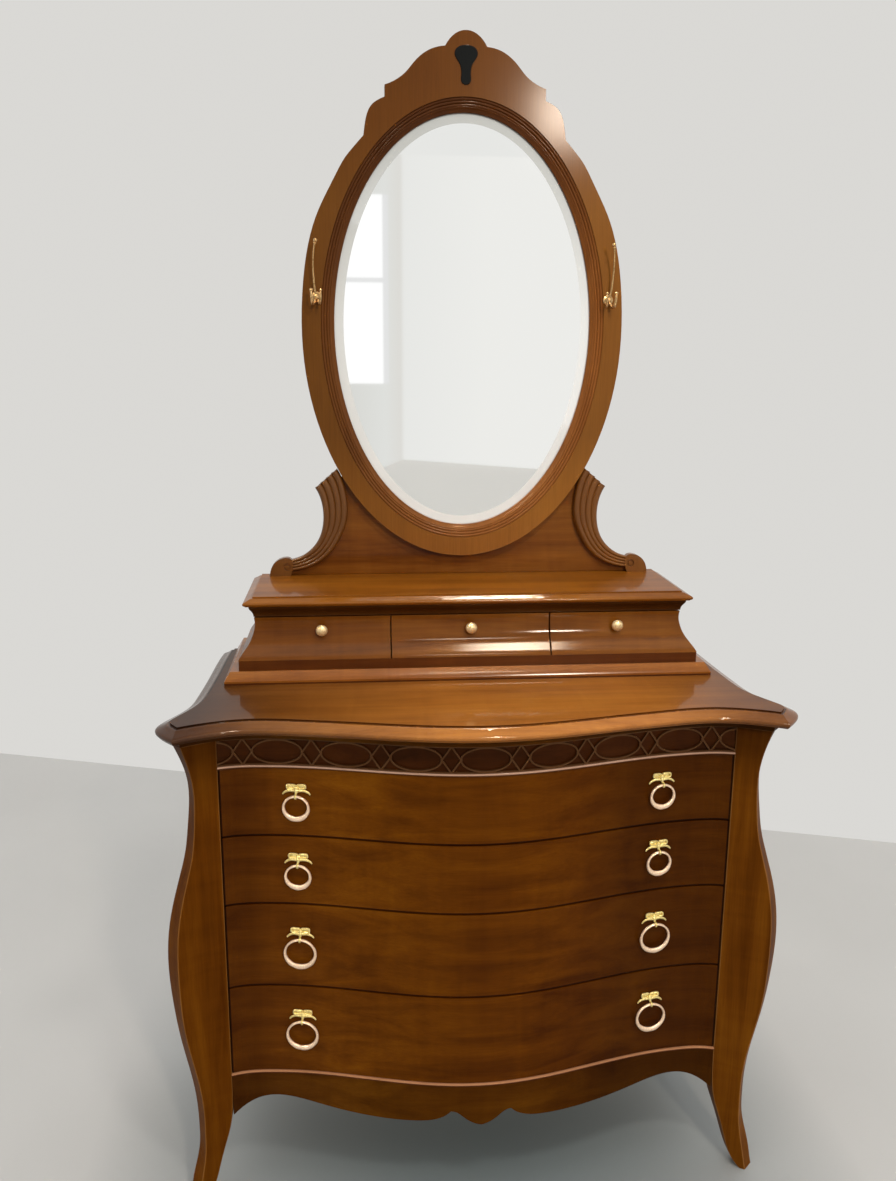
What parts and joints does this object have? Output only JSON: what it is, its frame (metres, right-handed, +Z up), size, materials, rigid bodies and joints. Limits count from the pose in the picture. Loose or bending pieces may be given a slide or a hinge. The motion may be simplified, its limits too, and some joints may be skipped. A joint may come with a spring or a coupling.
{
  "type": "dresser with mirror",
  "caption": "Serpentine-front dresser on sabre legs with long drawers, ring pulls, a moulded gallery of small drawers and a fixed oval mirror with a shaped crest.",
  "frame": {"origin": "on the floor under the middle of the chest", "axes": "+X to the right seen from the front, +Y to the back, +Z up"},
  "size_m": [1, 0.465, 1.91],
  "materials": {
    "polished_wood": "figured walnut-brown wood under glossy lacquer",
    "plain_wood": "plain planed wood inside, waxed",
    "brass": "polished brass with a warm tint",
    "mirror": "silvered glass with a bevelled rim",
    "ebonised_wood": "ebonised wood, satin"
  },
  "bodies": {
    "case": {"apron_rail": "polished_wood", "back_panel": "plain_wood", "bottom_board": "plain_wood", "chest_top": "polished_wood", "crest_drop": "ebonised_wood", "drawer_frames": "plain_wood", "frieze_fret": "polished_wood", "frieze_rail": "polished_wood", "front_beads": "polished_wood", "front_post_left": "polished_wood", "front_post_right": "polished_wood", "gallery_back": "plain_wood", "gallery_base": "polished_wood", "gallery_cornice": "polished_wood", "gallery_partitions": "plain_wood", "gallery_side_left": "polished_wood", "gallery_side_right": "polished_wood", "gallery_top": "polished_wood", "mirror_backing": "plain_wood", "mirror_frame": "polished_wood", "mirror_glass": "mirror", "mirror_hooks": "brass", "mirror_support_board": "polished_wood", "rear_post_left": "polished_wood", "rear_post_right": "polished_wood", "scroll_bracket_left": "polished_wood", "scroll_bracket_right": "polished_wood", "side_panel_left": "polished_wood", "side_panel_right": "polished_wood", "sight_moulding": "polished_wood", "top_moulding": "polished_wood"},
    "drawer_1": {"drawer_1_front": "polished_wood", "drawer_1_box": "plain_wood", "drawer_1_bows": "brass"},
    "ring_1_left": {"drawer_1_ring_left": "brass"},
    "ring_1_right": {"drawer_1_ring_right": "brass"},
    "drawer_2": {"drawer_2_front": "polished_wood", "drawer_2_box": "plain_wood", "drawer_2_bows": "brass"},
    "ring_2_left": {"drawer_2_ring_left": "brass"},
    "ring_2_right": {"drawer_2_ring_right": "brass"},
    "drawer_3": {"drawer_3_front": "polished_wood", "drawer_3_box": "plain_wood", "drawer_3_bows": "brass"},
    "ring_3_left": {"drawer_3_ring_left": "brass"},
    "ring_3_right": {"drawer_3_ring_right": "brass"},
    "drawer_4": {"drawer_4_front": "polished_wood", "drawer_4_box": "plain_wood", "drawer_4_bows": "brass"},
    "ring_4_left": {"drawer_4_ring_left": "brass"},
    "ring_4_right": {"drawer_4_ring_right": "brass"},
    "gallery_drawer_left": {"gallery_drawer_front_left": "polished_wood", "gallery_tray_left": "plain_wood", "gallery_knob_left": "brass"},
    "gallery_drawer_centre": {"gallery_drawer_front_centre": "polished_wood", "gallery_tray_centre": "plain_wood", "gallery_knob_centre": "brass"},
    "gallery_drawer_right": {"gallery_drawer_front_right": "polished_wood", "gallery_tray_right": "plain_wood", "gallery_knob_right": "brass"}
  },
  "joints": [
    {"name": "drawer_1_slide", "type": "slide", "parent": "case", "child": "drawer_1", "axis": [0, -1, 0], "range_m": [0, 0.23]},
    {"name": "ring_1_left_swing", "type": "hinge", "parent": "drawer_1", "child": "ring_1_left", "pos_m": [-0.29151, -0.14191, 0.72], "axis": [-0.9859, 0.1673, 0], "range_deg": [0, 95]},
    {"name": "ring_1_right_swing", "type": "hinge", "parent": "drawer_1", "child": "ring_1_right", "pos_m": [0.29151, -0.14191, 0.72], "axis": [-0.9859, -0.1673, 0], "range_deg": [0, 95]},
    {"name": "drawer_2_slide", "type": "slide", "parent": "case", "child": "drawer_2", "axis": [0, -1, 0], "range_m": [0, 0.23]},
    {"name": "ring_2_left_swing", "type": "hinge", "parent": "drawer_2", "child": "ring_2_left", "pos_m": [-0.29151, -0.14191, 0.603], "axis": [-0.9859, 0.1673, 0], "range_deg": [0, 95]},
    {"name": "ring_2_right_swing", "type": "hinge", "parent": "drawer_2", "child": "ring_2_right", "pos_m": [0.29151, -0.14191, 0.603], "axis": [-0.9859, -0.1673, 0], "range_deg": [0, 95]},
    {"name": "drawer_3_slide", "type": "slide", "parent": "case", "child": "drawer_3", "axis": [0, -1, 0], "range_m": [0, 0.23]},
    {"name": "ring_3_left_swing", "type": "hinge", "parent": "drawer_3", "child": "ring_3_left", "pos_m": [-0.29151, -0.14191, 0.473], "axis": [-0.9859, 0.1673, 0], "range_deg": [0, 95]},
    {"name": "ring_3_right_swing", "type": "hinge", "parent": "drawer_3", "child": "ring_3_right", "pos_m": [0.29151, -0.14191, 0.473], "axis": [-0.9859, -0.1673, 0], "range_deg": [0, 95]},
    {"name": "drawer_4_slide", "type": "slide", "parent": "case", "child": "drawer_4", "axis": [0, -1, 0], "range_m": [0, 0.23]},
    {"name": "ring_4_left_swing", "type": "hinge", "parent": "drawer_4", "child": "ring_4_left", "pos_m": [-0.29151, -0.14191, 0.324], "axis": [-0.9859, 0.1673, 0], "range_deg": [0, 95]},
    {"name": "ring_4_right_swing", "type": "hinge", "parent": "drawer_4", "child": "ring_4_right", "pos_m": [0.29151, -0.14191, 0.324], "axis": [-0.9859, -0.1673, 0], "range_deg": [0, 95]},
    {"name": "gallery_drawer_left_slide", "type": "slide", "parent": "case", "child": "gallery_drawer_left", "axis": [0, -1, 0], "range_m": [0, 0.1]},
    {"name": "gallery_drawer_centre_slide", "type": "slide", "parent": "case", "child": "gallery_drawer_centre", "axis": [0, -1, 0], "range_m": [0, 0.1]},
    {"name": "gallery_drawer_right_slide", "type": "slide", "parent": "case", "child": "gallery_drawer_right", "axis": [0, -1, 0], "range_m": [0, 0.1]}
  ]
}
